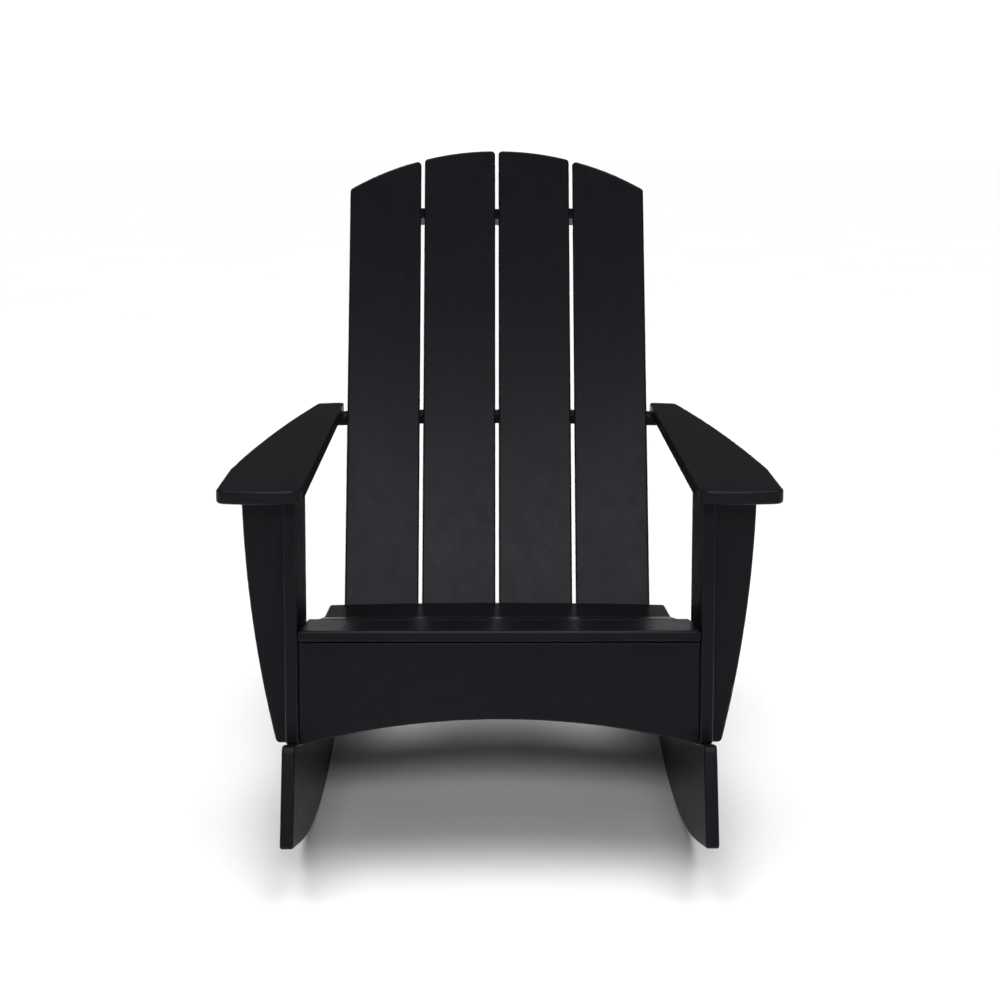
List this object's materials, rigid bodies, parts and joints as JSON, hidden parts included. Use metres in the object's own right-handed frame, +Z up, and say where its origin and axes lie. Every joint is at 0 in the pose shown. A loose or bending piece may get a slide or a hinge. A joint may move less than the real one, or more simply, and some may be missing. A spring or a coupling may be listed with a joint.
{
  "type": "rocking adirondack chair",
  "caption": "Low slatted garden rocking chair with an arched fan of back slats, a scooped seat, wide flat arms on tapered brackets, and curved runners.",
  "frame": {"origin": "on the floor, in the middle of the chair's bounding box", "axes": "+Z up, -Y towards the front (the side the sitter faces), +X to the right seen from the front"},
  "size_m": [0.7788, 0.8811, 1.0398],
  "materials": {
    "lumber": "finely textured, satin",
    "fastener": "satin"
  },
  "bodies": {
    "root": {"left_rocker": "lumber", "right_rocker": "lumber", "left_front_leg": "lumber", "right_front_leg": "lumber", "left_arm_bracket": "lumber", "right_arm_bracket": "lumber", "left_arm_cleat": "lumber", "right_arm_cleat": "lumber", "left_armrest": "lumber", "right_armrest": "lumber", "front_apron": "lumber", "seat_slat_1": "lumber", "seat_slat_2": "lumber", "seat_slat_3": "lumber", "seat_slat_4": "lumber", "left_seat_rail": "lumber", "right_seat_rail": "lumber", "left_seat_batten": "lumber", "right_seat_batten": "lumber", "back_slat_1": "lumber", "back_slat_2": "lumber", "back_slat_3": "lumber", "back_slat_4": "lumber", "upper_back_bar": "lumber", "lower_back_bar": "lumber", "arm_bar": "lumber", "leg_bolts": "fastener", "rocker_bolts": "fastener", "bolt_washers": "fastener", "bolt_nuts": "fastener", "apron_screws": "fastener", "bracket_screws": "fastener", "arm_screws": "fastener", "cleat_screws": "fastener", "batten_screws": "fastener", "seat_slat_screws": "fastener", "lower_bar_screws": "fastener", "back_slat_screws": "fastener"}
  },
  "joints": []
}
